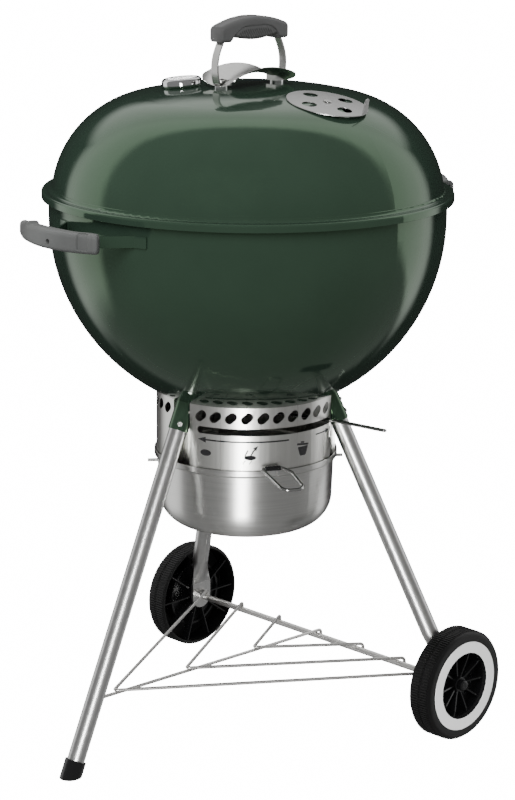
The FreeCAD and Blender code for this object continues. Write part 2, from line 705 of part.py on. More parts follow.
def ash_ring():
    top_z = 512.0
    outer = Part.makeCylinder(RING_R, top_z - RING_BOTTOM_Z, V(0, 0, RING_BOTTOM_Z))
    inner = Part.makeCylinder(RING_R - RING_SHEET, top_z - RING_BOTTOM_Z + 2, V(0, 0, RING_BOTTOM_Z - 1))
    thicker = CHANNEL_HALF + RING_SHEET / RING_R
    for leg in LEGS:
        outer = outer.cut(ring_wedge(leg[0], CHANNEL_R, CHANNEL_HALF, RING_BOTTOM_Z - 1, top_z + 1))
        inner = inner.cut(ring_wedge(leg[0], CHANNEL_R - RING_SHEET, thicker, RING_BOTTOM_Z - 2, top_z + 2))
    shell = outer.cut(inner).cut(bowl_solid(-0.05))
    cuts = []
    reach = V(60, 0, 0)
    profile = obround(9.5, 6.3, V(0, 0, 0))
    for middle in PANEL_MID:
        for k in range(HOLES_PER_PANEL):
            azimuth = middle + (k - (HOLES_PER_PANEL - 1) / 2) * HOLE_PITCH
            flat = Part.Face(profile)
            flat.rotate(V(0, 0, 0), Y_AXIS, 90)
            flat.rotate(V(0, 0, 0), X_AXIS, 40)
            hole = moved(flat.extrude(reach), V(100, 0, HOLE_Z))
            cuts.append(spun(hole, azimuth))
    half_h = SLOT_HEIGHT / 2
    inset = math.degrees(half_h / RING_R)
    cuts.append(ring_sector(120, 140, SLOT_Z - half_h, SLOT_Z + half_h, SLOT_FROM + inset,
                            SLOT_TO - SLOT_FROM - 2 * inset))
    for azimuth in (SLOT_FROM + inset, SLOT_TO - inset):
        cuts.append(cylinder(half_h, polar(120, azimuth, SLOT_Z), polar(140, azimuth, SLOT_Z)))
    return shell.cut(group(cuts))


def ring_screws():
    screws = []
    for leg in LEGS:
        for z in (430.0, 446.0):
            head = cylinder(4.0, polar(CHANNEL_R, leg[0], z), polar(CHANNEL_R + 2.5, leg[0], z))
            screws.append(head)
    return group(screws)


def pot_profile(inset):
    """Solid of the pot's outside moved inwards by inset."""
    step_z = 409.0
    corner_r = 44.0
    outline = [V(0, 0, POT_BOTTOM_Z + inset), V(126.0 - inset, 0, POT_BOTTOM_Z + inset),
               V(129.2 - inset, 0, step_z - 1.6), V(POT_RIM_R - inset, 0, step_z + 0.6),
               V(POT_RIM_R - inset, 0, POT_TOP_Z), V(0, 0, POT_TOP_Z)]
    path = rounded_path(outline, [corner_r - inset, 1.5, 1.5, 0.1])
    face = Part.Face(Part.Wire(path.Edges + [Part.LineSegment(outline[-1], outline[0]).toShape()]))
    return revolve(face)


def ash_pot():
    inner = pot_profile(SHEET)
    shell = pot_profile(0).cut(inner)
    return shell


BAIL_AZ = -29.3
BAIL_R = 138.4
BAIL_Z = 423.0
SLEEVE_HALF = 11.5


def bail_frame(t, out, rise):
    """Point from tangential, outward and upward distances at the sleeve."""
    a = math.radians(BAIL_AZ)
    return V(BAIL_R * math.cos(a) + out * math.cos(a) - t * math.sin(a),
             BAIL_R * math.sin(a) + out * math.sin(a) + t * math.cos(a), BAIL_Z + rise)


def bail():
    slope = -0.267
    outline = [(0, 0), (14.0, 0), (25, 13), (31.5, 58.5), (-0.5, 58.5), (-15.5, 0)]
    points = [bail_frame(t, out, slope * out) for t, out in outline]
    path = points + [points[0]]
    return wire_rod(path, [2.5, 9, 12, 12, 2.5], BAIL_WIRE_R)


def bail_sleeve():
    a = bail_frame(-SLEEVE_HALF, 0, 0)
    b = bail_frame(SLEEVE_HALF, 0, 0)
    return tube(3.4, BAIL_WIRE_R + RUN_GAP, a, b)


def sleeve_clip():
    """Clip from the pot's rim up to the back of the sleeve."""
    low = V(POT_RIM_R - 0.6, -8, 411)
    body = box(low, V(POT_RIM_R + 1.2, 8, 426))
    body = spun(body, BAIL_AZ)
    sleeve = cylinder(3.4, bail_frame(-20, 0, 0), bail_frame(20, 0, 0))
    rim = Part.makeCylinder(POT_RIM_R, POT_TOP_Z - 300, V(0, 0, 300))
    return body.cut(rim).cut(sleeve)


def pot_pegs():
    pegs = []
    for azimuth in (-128.0, 52.0):
        peg = cylinder(2.4, polar(120, azimuth, 401), polar(144, azimuth, 401))
        pegs.append(peg.cut(pot_profile(0)))
    return group(pegs)


# Sweep: hub through the bowl's bottom, three blades inside, lever below
HUB_SHAFT_R = 5.0 - RUN_GAP
HUB_R = 15.0
BLADE_HALF = math.radians(18.0)
LEVER_Z = 473.7


def sweep_hub():
    shaft = Part.makeCylinder(HUB_SHAFT_R, 480.5 - 466.0, V(0, 0, 466.0))
    boss = Part.makeCylinder(HUB_R, 8.0, V(0, 0, 479.3))
    return fuse([shaft, boss])


def sweep_blade(azimuth):
    inner = BOWL_R - SHEET
    centre = V(0, 0, BOWL_CENTRE_Z)
    skin = Part.makeSphere(inner - 0.5, centre).cut(Part.makeSphere(inner - 2.0, centre))
    reach = 112.0
    half = math.degrees(BLADE_HALF)
    outline = Part.Face(Part.Wire([Part.LineSegment(V(0, 0, 470), polar(reach, -half, 470)).toShape(),
                                   Part.Arc(polar(reach, -half, 470), V(reach, 0, 470),
                                            polar(reach, half, 470)).toShape(),
                                   Part.LineSegment(polar(reach, half, 470), V(0, 0, 470)).toShape()]))
    sector = outline.extrude(V(0, 0, 60))
    blade = skin.common(sector)
    web = box(V(0, -0.8, 470), V(reach - 1, 0.8, 540))
    band = Part.makeSphere(inner - 1.9, centre).cut(Part.makeSphere(inner - 16.0, centre))
    blade = fuse([blade, web.common(band)])
    hub = Part.makeCylinder(HUB_R + 0.05, 40, V(0, 0, 470))
    blade = blade.cut(hub)
    return spun(blade, azimuth)


def sweep_lever():
    offset = 3.0
    wire_r = 1.8
    drop = LEVER_Z - 5.2
    collar = tube(9.0, HUB_SHAFT_R, V(0, 0, 470.5), V(0, 0, 476.8))
    points = []
    for side in (-1, 1):
        strand = [V(7.5, side * offset, LEVER_Z), V(142, side * offset, LEVER_Z),
                  V(LEVER_TIP_R, side * offset, drop)]
        points.append(strand)
    slope = (points[0][2] - points[0][1]).normalize()
    rods = [wire_rod(strand, [60], wire_r) for strand in points]
    tip_c = V(LEVER_TIP_R, 0, drop)
    end_arc = Part.Arc(points[0][2], tip_c + slope * offset, points[1][2]).toShape()
    section = Part.Wire(Part.makeCircle(wire_r, points[0][2], slope))
    rods.append(Part.Wire(end_arc).makePipeShell([section], True, True))
    pointer = box(V(RING_R + 2.2, -1.6, 449), V(RING_R + 3.2, 1.6, LEVER_Z))
    pointer_foot = box(V(RING_R + 2.2, -4.0, LEVER_Z - 1.5), V(RING_R + 3.2, 4.0, LEVER_Z + 1.5))
    body = fuse([collar] + rods + [pointer, pointer_foot])
    return spun(body, LEVER_AZ)


def sweep_nut():
    return tube(8.0, HUB_SHAFT_R, V(0, 0, 466.2), V(0, 0, 470.4))


# Grates
def grate_rod(x, z, radius, ring_r):
    half = math.sqrt(ring_r ** 2 - x ** 2)
    return cylinder(radius, V(x, -half, z), V(x, half, z))


def cooking_grate():
    ring_r = GRATE_R - 3.5
    ring = Part.makeTorus(ring_r, 3.5, V(0, 0, GRATE_Z))
    keep = box(V(-GRATE_HINGE_X, -300, 700), V(GRATE_HINGE_X, 300, 800))
    pieces = [ring.common(keep)]
    for k in range(-8, 9):
        x = k * GRATE_HINGE_X / 8.0
        pieces.append(grate_rod(x, GRATE_Z, 2.5, ring_r))
    for y in (-95.0, 95.0):
        pieces.append(cylinder(3.5, V(-GRATE_HINGE_X, y, GRATE_Z - 5.6), V(GRATE_HINGE_X, y, GRATE_Z - 5.6)))
    for side in (-1, 1):
        base_y = side * math.sqrt(ring_r ** 2 - 35 ** 2)
        lean = side * 14.0
        loop = [V(-35, base_y, GRATE_Z), V(-33, base_y - lean, GRATE_Z + 24),
                V(33, base_y - lean, GRATE_Z + 24), V(35, base_y, GRATE_Z)]
        pieces.append(wire_rod(loop, [8, 8], 2.5))
    return fuse(pieces)


FLAP_ROD_X = GRATE_HINGE_X + 6.2
FLAP_RING_R = GRATE_R - 9.5
FLAP_ROD_PITCH = 18.5


def grate_flap():
    """Hinged end of the cooking grate at +X; its eyes turn on the grate's last rod."""
    ring = Part.makeTorus(FLAP_RING_R, 3.5, V(0, 0, GRATE_Z))
    keep = box(V(FLAP_ROD_X, -300, 700), V(300, 300, 800))
    pieces = [ring.common(keep)]
    for k in range(6):
        pieces.append(grate_rod(FLAP_ROD_X + FLAP_ROD_PITCH * k, GRATE_Z, 2.5, FLAP_RING_R))
    last_x = FLAP_ROD_X + FLAP_ROD_PITCH * 4
    pieces.append(cylinder(2.0, V(FLAP_ROD_X, 0, GRATE_Z - 3.4), V(last_x, 0, GRATE_Z - 3.4)))
    for y in (-120.0, 120.0):
        eye = tube(5.2, 2.5 + RUN_GAP, V(GRATE_HINGE_X, y - 3, GRATE_Z), V(GRATE_HINGE_X, y + 3, GRATE_Z))
        pieces.append(eye)
    return fuse(pieces)


def grate_tabs():
    tabs = []
    for azimuth in (0, 62, 118, 180, 242, 298):
        shelf = box(V(256, -10, 749.5), V(286, 10, 751.5))
        plate = box(V(278, -10, 734), V(286, 10, 750.5))
        skin = bowl_solid(SHEET + 2.0)
        tab = fuse([shelf, plate.cut(skin)]).common(bowl_solid(SHEET))
        tabs.append(spun(tab, azimuth))
    return group(tabs)


def charcoal_grate():
    ring_r = COAL_GRATE_R - 3.5
    pieces = [Part.makeTorus(ring_r, 3.5, V(0, 0, COAL_GRATE_Z))]
    for k in range(-8, 9):
        pieces.append(grate_rod(k * 25.0, COAL_GRATE_Z, 3.0, ring_r))
    for y in (-42.0, 42.0):
        half = math.sqrt(ring_r ** 2 - y ** 2)
        pieces.append(cylinder(3.5, V(-half, y, COAL_GRATE_Z - 5.5), V(half, y, COAL_GRATE_Z - 5.5)))
    return fuse(pieces)


def charcoal_tabs():
    tabs = []
    for azimuth in (0, 120, 240):
        low = COAL_GRATE_Z - 3.5 - LOOSE_GAP
        shelf = box(V(200, -9, low - 2), V(240, 9, low))
        tabs.append(spun(shelf.common(bowl_solid(SHEET)), azimuth))
    return group(tabs)


# Wheels, modelled for the right one
HUB_RIM_R = 52.0


def wheel_revolve(outline, radii):
    """Revolve an (x, radius) outline about the axle."""
    points = [V(x, 0, r) for x, r in outline]
    face = closed_outline(points, radii)
    solid = face.revolve(V(0, 0, 0), X_AXIS, 360)
    return moved(solid, V(0, AXLE_Y, WHEEL_R))


def tyre():
    """Tread shell, open towards the leg, with an outer side wall that reaches in to the hub's rim."""
    wall_x = WHEEL_FACE_X - 4.0
    shell_r = WHEEL_R - 5.5
    outline = [(WHEEL_INNER_X, shell_r), (WHEEL_INNER_X, WHEEL_R), (WHEEL_FACE_X, WHEEL_R), (WHEEL_FACE_X, 67.0),
               (WHEEL_FACE_X - 0.8, 67.0), (WHEEL_FACE_X - 0.8, HUB_RIM_R), (wall_x, HUB_RIM_R), (wall_x, shell_r)]
    return wheel_revolve(outline, [1.5, 3.5, 5, 0.2, 0.2, 0.5, 0.5, 2])


def whitewall():
    outline = [(WHEEL_FACE_X - 0.75, 50), (WHEEL_FACE_X + 0.3, 50), (WHEEL_FACE_X + 0.3, 66.8),
               (WHEEL_FACE_X - 0.75, 66.8)]
    return wheel_revolve(outline, [0.2, 0.3, 0.3, 0.2])


def hub():
    """Boss, rim and web, with thin ribs outside the web and long ribs inside it that reach the tread shell."""
    rim = [(272, HUB_RIM_R - 4), (272, HUB_RIM_R - 0.1), (WHEEL_FACE_X - 0.9, HUB_RIM_R - 0.1),
           (WHEEL_FACE_X - 0.9, HUB_RIM_R - 2), (WHEEL_FACE_X - 6, HUB_RIM_R - 4)]
    web = [(276, 8), (276, HUB_RIM_R - 2), (279, HUB_RIM_R - 2), (279, 8)]
    bore = AXLE_R + RUN_GAP
    boss = [(261.4, bore), (261.4, 11), (289.5, 11), (289.5, bore)]
    pieces = [wheel_revolve(rim, [0.5] * 5), wheel_revolve(web, [0.1] * 4), wheel_revolve(boss, [0.3, 1, 1, 0.3])]
    for k in range(10):
        outer_rib = box(V(278, -1.1, 9), V(291, 1.1, HUB_RIM_R - 3))
        slant = box(V(286, -3, -10), V(320, 3, 80))
        outer_rib = outer_rib.cut(spun(slant, 9, V(286, 0, 9), Y_AXIS))
        inner_rib = box(V(263, -1.0, 9), V(277, 1.0, WHEEL_R - 5.9))
        rib = outer_rib.fuse(inner_rib)
        rib = spun(rib, 36 * k + 18, V(0, 0, 0), X_AXIS)
        pieces.append(moved(rib, V(0, AXLE_Y, WHEEL_R)))
    return fuse(pieces)


def axle():
    return cylinder(AXLE_R, V(-WHEEL_FACE_X + 1, AXLE_Y, WHEEL_R), V(WHEEL_FACE_X - 1, AXLE_Y, WHEEL_R))


def axle_caps():
    cap = cylinder(8.0, V(290.2, AXLE_Y, WHEEL_R), V(WHEEL_FACE_X, AXLE_Y, WHEEL_R))
    cap = cap.makeFillet(3.0, [e for e in cap.Edges if e.BoundBox.XMin > WHEEL_FACE_X - 0.1])
    cap = cap.cut(cylinder(AXLE_R, V(280, AXLE_Y, WHEEL_R), V(WHEEL_FACE_X - 1, AXLE_Y, WHEEL_R)))
    return group([cap, spun(cap, 180, V(0, AXLE_Y, 0))])


def mirrored(shape):
    return shape.mirror(V(0, 0, 0), X_AXIS)


def all_nodes():
    nodes = {"bowl": bowl(), "grate_tabs": group([grate_tabs(), charcoal_tabs()])}
    buttons = {"front": (FRONT_LEG, -47.0), "right": (RIGHT_LEG, 78.0), "left": (LEFT_LEG, 102.0)}
    for name, (leg, azimuth) in buttons.items():
        nodes["leg_socket_" + name] = leg_socket(leg, azimuth)
        nodes["leg_button_" + name] = leg_button(leg, azimuth)
        body = straight_leg() if name == "front" else wheel_leg(leg)
        nodes["leg_" + name] = body.cut(button_shape(leg, azimuth, 3.4, 4.0, 30.0))
    rivets = socket_pins([(FRONT_LEG, -15.0), (RIGHT_LEG, 44.0), (LEFT_LEG, 136.0)])
    nodes["stand_rivets"] = group([rivets, ring_screws()])
    nodes["foot_cap"] = foot_cap()
    nodes["axle"] = axle()
    nodes["axle_caps"] = axle_caps()
    nodes["rack_spine"] = rack_spine()
    for k, apex_y in enumerate(RACK_APEX_Y):
        nodes["rack_vee_%d" % (k + 1)] = rack_vee(apex_y)
    for name, turn in (("front", HANDLE_TURN), ("rear", HANDLE_TURN + 180)):
        nodes["handle_bracket_" + name] = spun(bracket(), turn)
        nodes["handle_grip_" + name] = spun(side_grip(), turn)
    screw = spun(side_screw(), HANDLE_TURN)
    nodes["handle_screws"] = group([screw, spun(screw, 180)])
    nodes["ash_ring"] = ash_ring()
    nodes["lid_shell"] = lid_shell()
    strap_body = lid_handle_strap()
    nodes["lid_handle_strap"] = handle_turned(strap_body)
    nodes["lid_grip"] = handle_turned(lid_grip(strap_body))
    shield = heat_shield()
    nodes["heat_shield"] = handle_turned(shield)
    for name, shape in zip(("lid_spacers", "lid_bolts", "lid_nuts"), lid_handle_hardware(shield)):
        nodes[name] = handle_turned(shape)
    point, normal = lid_surface(THERMO_R, THERMO_AZ)
    *pieces, stem_nut = [placed(shape, point, normal) for shape in thermometer()]
    for name, shape in zip(("bezel", "dial", "glass", "needle", "stem"), pieces):
        nodes["thermometer_" + name] = shape
    nodes["thermometer_bezel"] = nodes["thermometer_bezel"].cut(lid_dome(0, 900))
    nodes["lid_nuts"] = group([nodes["lid_nuts"], stem_nut])
    point, normal = lid_surface(VENT_R, VENT_AZ)
    nodes["damper_disc"] = placed(damper_disc(), point, normal, VENT_AZ)
    nodes["damper_rivet"] = placed(damper_rivet(), point, normal)
    nodes["lid_hook"] = lid_hook()
    nodes["ash_pot"] = ash_pot()
    nodes["pot_bail"] = bail()
    nodes["bail_sleeve"] = bail_sleeve()
    nodes["pot_fittings"] = group([sleeve_clip(), pot_pegs()])
    nodes["sweep_hub"] = sweep_hub()
    for k in range(3):
        nodes["sweep_blade_%d" % (k + 1)] = sweep_blade(VENT_SLOT_AZ + BLADE_OFFSET + 120 * k)
    nodes["sweep_lever"] = sweep_lever()
    nodes["sweep_nut"] = sweep_nut()
    nodes["cooking_grate"] = cooking_grate()
    nodes["grate_flap_right"] = grate_flap()
    nodes["grate_flap_left"] = mirrored(grate_flap())
    nodes["charcoal_grate"] = charcoal_grate()
    for name, shape in (("tyre", tyre()), ("hub", hub()), ("whitewall", whitewall())):
        nodes[name + "_right"] = shape
        nodes[name + "_left"] = mirrored(shape)
    return nodes


os.makedirs("parts", exist_ok=True)
for node_name, node_shape in all_nodes().items():
    if not node_shape.isValid():
        print("not valid:", node_name)
    print(node_name, len(node_shape.Solids), round(node_shape.Volume))
    node_shape.exportStep("parts/%s.step" % node_name)
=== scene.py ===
import json
import math

import bmesh
import bpy
from mathutils import Matrix, Vector


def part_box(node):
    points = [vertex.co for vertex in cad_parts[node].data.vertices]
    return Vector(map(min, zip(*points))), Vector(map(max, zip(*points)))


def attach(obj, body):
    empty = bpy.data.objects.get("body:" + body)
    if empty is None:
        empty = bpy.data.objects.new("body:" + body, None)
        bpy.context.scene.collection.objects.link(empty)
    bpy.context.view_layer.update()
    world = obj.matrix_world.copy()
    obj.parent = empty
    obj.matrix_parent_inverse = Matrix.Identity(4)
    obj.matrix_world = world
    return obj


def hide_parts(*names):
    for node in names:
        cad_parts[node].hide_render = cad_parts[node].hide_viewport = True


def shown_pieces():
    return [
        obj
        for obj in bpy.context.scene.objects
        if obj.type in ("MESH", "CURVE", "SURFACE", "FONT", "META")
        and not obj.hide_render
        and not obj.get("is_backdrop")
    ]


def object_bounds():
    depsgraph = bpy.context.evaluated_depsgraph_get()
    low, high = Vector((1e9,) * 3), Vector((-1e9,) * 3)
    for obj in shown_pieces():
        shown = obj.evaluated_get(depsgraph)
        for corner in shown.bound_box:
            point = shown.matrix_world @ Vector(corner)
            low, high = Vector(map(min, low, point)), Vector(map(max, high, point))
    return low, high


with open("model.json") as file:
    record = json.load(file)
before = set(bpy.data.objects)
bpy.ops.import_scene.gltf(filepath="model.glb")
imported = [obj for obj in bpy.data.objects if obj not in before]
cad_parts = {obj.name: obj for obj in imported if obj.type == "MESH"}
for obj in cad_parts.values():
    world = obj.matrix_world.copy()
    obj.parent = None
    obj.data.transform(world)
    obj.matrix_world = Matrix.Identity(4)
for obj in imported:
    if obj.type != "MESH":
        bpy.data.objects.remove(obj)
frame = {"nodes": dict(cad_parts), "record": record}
NODES = frame["nodes"]
SIZE_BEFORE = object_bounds()

# ---------------------------------------------------------------- camera
LOW, HIGH = SIZE_BEFORE
AXIS = Vector(((LOW.x + HIGH.x) / 2, (LOW.y + HIGH.y) / 2, 0.0))
VIEW_AZIMUTH = math.radians(44.379)
VIEW_ELEVATION = math.radians(14.624)
VIEW_ROLL = math.radians(0.599)
VIEW_DISTANCE = 3.47626
AIM_RIGHT = 0.01662
AIM_HEIGHT = 0.4881
LENS_MM = 107.12

back = Vector((math.sin(VIEW_AZIMUTH) * math.cos(VIEW_ELEVATION),
               -math.cos(VIEW_AZIMUTH) * math.cos(VIEW_ELEVATION), math.sin(VIEW_ELEVATION)))
right = Vector((math.cos(VIEW_AZIMUTH), math.sin(VIEW_AZIMUTH), 0.0))
up = back.cross(right)
cam_x = right * math.cos(VIEW_ROLL) + up * math.sin(VIEW_ROLL)
cam_y = up * math.cos(VIEW_ROLL) - right * math.sin(VIEW_ROLL)
camera = bpy.data.objects.new("camera", bpy.data.cameras.new("camera"))
bpy.context.scene.collection.objects.link(camera)
turn = Matrix((cam_x, cam_y, back)).transposed().to_4x4()
place = AXIS + Vector((0, 0, AIM_HEIGHT)) + right * AIM_RIGHT + back * VIEW_DISTANCE
camera.matrix_world = Matrix.Translation(place) @ turn
camera.data.lens = LENS_MM
camera.data.sensor_width = 36.0
camera.data.clip_start = 0.05
camera.data.clip_end = 60.0
bpy.context.scene.camera = camera


# ---------------------------------------------------------------- materials
class Graph:
    """A material's node tree with a Principled shader, built up in few words."""

    def __init__(self, name, **sockets):
        self.material = bpy.data.materials.new(name)
        self.material.use_nodes = True
        self.tree = self.material.node_tree
        self.shader = self.tree.nodes["Principled BSDF"]
        self.object_space = self.add("ShaderNodeTexCoord").outputs["Object"]
        for key, value in sockets.items():
            self.shader.inputs[key.replace("_", " ")].default_value = value

    def add(self, kind, links=None, **settings):
        node = self.tree.nodes.new(kind)
        for key, value in settings.items():
            setattr(node, key, value)
        for key, value in (links or {}).items():
            if isinstance(value, bpy.types.NodeSocket):
                self.tree.links.new(value, node.inputs[key])
            else:
                node.inputs[key].default_value = value
        return node

    def noise(self, scale, detail=3.0, rough=0.5, stretch=None):
        vector = self.object_space
        if stretch:
            vector = self.add("ShaderNodeMapping", {"Vector": vector, "Scale": stretch}).outputs[0]
        node = self.add("ShaderNodeTexNoise", {"Vector": vector, "Scale": scale, "Detail": detail,
                                               "Roughness": rough})
        return node.outputs["Fac"]

    def ramp(self, value, low, high, at=(0.3, 0.7)):
        node = self.add("ShaderNodeMapRange", {"Value": value, "From Min": at[0], "From Max": at[1],
                                               "To Min": low, "To Max": high})
        return node.outputs[0]

    def colours(self, value, first, second, at=(0.3, 0.7)):
        share = self.ramp(value, 0.0, 1.0, at)
        node = self.add("ShaderNodeMix", data_type="RGBA")
        self.tree.links.new(share, node.inputs[0])
        node.inputs[6].default_value = (*first, 1)
        node.inputs[7].default_value = (*second, 1)
        return node.outputs[2]

    def to(self, key, value):
        self.tree.links.new(value, self.shader.inputs[key])
        return self

    def bump(self, height, distance, strength=1.0):
        node = self.add("ShaderNodeBump", {"Height": height, "Distance": distance, "Strength": strength})
        self.tree.links.new(node.outputs[0], self.shader.inputs["Normal"])
        return self


def enamel():
    """Glossy green porcelain enamel with a faint orange peel."""
    g = Graph("green_enamel", Metallic=0.0, IOR=1.68, Specular_Tint=(0.60, 1.0, 0.56, 1))
    g.to("Base Color", g.colours(g.noise(9.0, 4.0), (0.030, 0.054, 0.038), (0.036, 0.064, 0.045)))
    g.to("Roughness", g.ramp(g.noise(60.0, 2.0), 0.07, 0.11))
    g.bump(g.noise(70.0, 2.0), 0.0003, 0.2)
    return g.material


def steel(name, base, rough, scale, depth, grain=None, spread=0.05):
    """Bare or plated metal, with grain drawn out along an axis where it has one."""
    g = Graph(name, Metallic=1.0)
    fine = g.noise(scale, 3.0, 0.6, grain)
    g.to("Base Color", g.colours(fine, [c * 0.9 for c in base], base))
    g.to("Roughness", g.ramp(fine, rough, rough + spread))
    g.bump(fine, depth, 0.5)
    return g.material


def spun(name, base, rough):
    """Lathe-turned metal: fine rings about the vertical axis that draw highlights out along it."""
    g = Graph(name, Metallic=1.0, Anisotropic=0.75, Anisotropic_Rotation=0.25)
    rings = g.noise(420.0, 3.0, 0.6, (0.02, 0.02, 1))
    g.to("Base Color", g.colours(rings, [c * 0.88 for c in base], base))
    g.to("Roughness", g.ramp(rings, rough, rough + 0.08))
    g.to("Tangent", g.add("ShaderNodeTangent", direction_type="RADIAL", axis="Z").outputs[0])
    g.bump(rings, 0.00002, 0.4)
    return g.material


def moulded(name, base, rough, fleck=0.12, scale=900.0, depth=0.00003):
    """Moulded plastic, rubber or paint, slightly mottled, with a fine grain."""
    g = Graph(name)
    fine = g.noise(scale, 3.0)
    g.to("Base Color", g.colours(g.noise(25.0), [c * (1 - fleck) for c in base], base))
    g.to("Roughness", g.ramp(fine, rough, rough + 0.12))
    g.bump(fine, depth, 0.6)
    return g.material


def clear():
    g = Graph("clear_glass", Transmission_Weight=1.0, IOR=1.45)
    g.to("Roughness", g.ramp(g.noise(40.0), 0.0, 0.02))
    g.to("Base Color", g.colours(g.noise(12.0), (0.97, 0.98, 0.98), (1, 1, 1)))
    return g.material


DRAWN = (1, 1, 0.02)
ENAMEL = enamel()
SATIN = steel("satin_steel", (0.66, 0.66, 0.64), 0.22, 150.0, 0.000006)
RING_STEEL = steel("collar_steel", (0.66, 0.66, 0.63), 0.27, 240.0, 0.000006, DRAWN, 0.04)
LEG_METAL = steel("leg_metal", (0.60, 0.60, 0.59), 0.30, 90.0, 0.000004, spread=0.03)
POT_METAL = spun("spun_aluminium", (0.66, 0.66, 0.64), 0.30)
CHROME = steel("chrome", (0.72, 0.72, 0.72), 0.05, 120.0, 0.000003, spread=0.03)
WIRE = steel("plated_wire", (0.74, 0.73, 0.71), 0.34, 60.0, 0.000002)
DARK_CHROME = steel("dark_chrome", (0.46, 0.46, 0.45), 0.12, 120.0, 0.000003, spread=0.03)
ROD = steel("grate_rods", (0.40, 0.39, 0.37), 0.33, 300.0, 0.00001)
SHEET = steel("aluminised_sheet", (0.50, 0.50, 0.49), 0.35, 200.0, 0.00001)
GREY = moulded("grey_nylon", (0.155, 0.160, 0.157), 0.42)
DARK_GREY = moulded("grip_nylon", (0.115, 0.116, 0.116), 0.40)
BLACK = moulded("black_plastic", (0.010, 0.010, 0.011), 0.22, 0.12, 300.0, 0.000004)
RUBBER = moulded("tyre_rubber", (0.007, 0.007, 0.007), 0.50)
WALL = moulded("pale_insert", (0.93, 0.93, 0.92), 0.4, 0.03)
DIAL = moulded("dial_paint", (0.75, 0.75, 0.72), 0.4, 0.04)
NEEDLE = moulded("needle_paint", (0.45, 0.03, 0.02), 0.35)
# Painted shade: near-black paint that stands for the dark inside of the collar's stamped cut-outs.
CUTOUT_SHADE = moulded("cutout_shade_paint", (0.03, 0.03, 0.032), 0.5)
GLASS = clear()
LIT_FROM_FRONT = (SATIN, RING_STEEL, LEG_METAL, POT_METAL, CHROME, DARK_CHROME, WIRE, SHEET, WALL)
BY_SLOT = {"enamel_green": ENAMEL, "handle_grey": GREY, "bright_steel": SATIN, "leg_aluminium": LEG_METAL,
           "pot_aluminium": POT_METAL, "chrome_steel": CHROME, "plated_wire": WIRE, "black_plastic": BLACK,
           "tyre_black": RUBBER, "wall_grey": WALL, "dial_white": DIAL, "needle_red": NEEDLE,
           "dial_glass": GLASS, "hot_steel": ROD, "aluminised": SHEET}
BY_NODE = {"ash_ring": RING_STEEL, "sweep_lever": DARK_CHROME, "pot_bail": DARK_CHROME}
for row in frame["record"]["subparts"]:
    node = NODES[row["node"]]
    material = BY_NODE.get(row["node"], BY_SLOT[row["material_slot"]])
    node.data.materials.clear()
    node.data.materials.append(material)


# ---------------------------------------------------------------- detailed pieces
def piece(name, verts, faces, material, body, replaced=(), sharp=38):
    """Smooth-shaded mesh object that rides on a body; edges over the sharp angle stay crisp."""
    mesh = bpy.data.meshes.new(name)
    mesh.from_pydata([tuple(v) for v in verts], [], faces)
    mesh.validate()
    work = bmesh.new()
    work.from_mesh(mesh)
    bmesh.ops.recalc_face_normals(work, faces=work.faces)
    work.to_mesh(mesh)
    work.free()
    for face in mesh.polygons:
        face.use_smooth = True
    mesh.set_sharp_from_angle(angle=math.radians(sharp))
    mesh.materials.append(material)
    thing = bpy.data.objects.new(name, mesh)
    bpy.context.scene.collection.objects.link(thing)
    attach(thing, body)
    if replaced:
        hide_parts(*replaced)
    return thing


def lattice(rows, wrap_rows=False, wrap_columns=True, caps=False):
    """Vertices and quads of a grid given as rows of points."""
    verts = [p for row in rows for p in row]
    count, wide = len(rows), len(rows[0])
    faces = []
    for i in range(count if wrap_rows else count - 1):
        k = (i + 1) % count
        for j in range(wide if wrap_columns else wide - 1):
            m = (j + 1) % wide
            faces.append((i * wide + j, i * wide + m, k * wide + m, k * wide + j))
    if caps:
        faces.append(tuple(range(wide)))
        faces.append(tuple(range((count - 1) * wide, count * wide)))
    return verts, faces


LUGS = 128
LUG_HEIGHT = 0.0015
SHOULDER_R = 0.004


def tyre_piece(side):
    """Tread shell with two rows of moulded lugs, a parting seam and a rounded shoulder."""
    low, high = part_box("tyre_" + side)
    centre = (low + high) / 2
    sign = 1 if side == "right" else -1
    inner_x = low.x if sign > 0 else high.x
    radius = (high.z - low.z) / 2
    root = radius - LUG_HEIGHT
    # (distance from the inner face, radius, 1 where the lugs rise)
    profile = [(0.0335, 0.0520, 0), (0.0335, 0.0765, 0), (0.0330, 0.0772, 0), (0.0006, 0.0772, 0),
               (0.0, 0.0778, 0), (0.0, root - 0.0016, 0), (0.0005, root - 0.0006, 0), (0.0015, root, 0),
               (0.0022, root, 0), (0.0027, root, 1), (0.0100, root, 1), (0.0170, root, 1), (0.0175, root, 0),
               (0.0181, root, 0), (0.0184, root + 0.0006, 0), (0.0190, root + 0.0006, 0), (0.0193, root, 0),
               (0.0199, root, 0), (0.0204, root, 1), (0.0270, root, 1), (0.0325, root - 0.0002, 1),
               (0.0332, root - 0.0003, 0)]
    for k in range(7):
        a = math.radians(90 * k / 6)
        profile.append((0.0335 + SHOULDER_R * math.sin(a), root - 0.0046 + SHOULDER_R * math.cos(a), 0))
    profile += [(0.0376, 0.0740, 0), (0.0375, 0.0700, 0), (0.0374, 0.0672, 0), (0.0368, 0.0669, 0),
                (0.0367, 0.0522, 0), (0.0362, 0.0520, 0)]
    rows = []
    for lug in range(LUGS):
        for share, tall in ((0.0, False), (0.10, True), (0.50, True), (0.60, False)):
            a = 2 * math.pi * (lug + share) / LUGS
            row = []
            for x, r, lugged in profile:
                reach = r + (LUG_HEIGHT if lugged and tall else 0.0)
                row.append(Vector((inner_x + sign * x, centre.y + reach * math.cos(a),
                                   centre.z + reach * math.sin(a))))
            rows.append(row)
    verts, faces = lattice(rows, True, True)
    return piece("tyre_tread_" + side, verts, faces, RUBBER, "wheel_" + side,
                 ["tyre_" + side], 30)


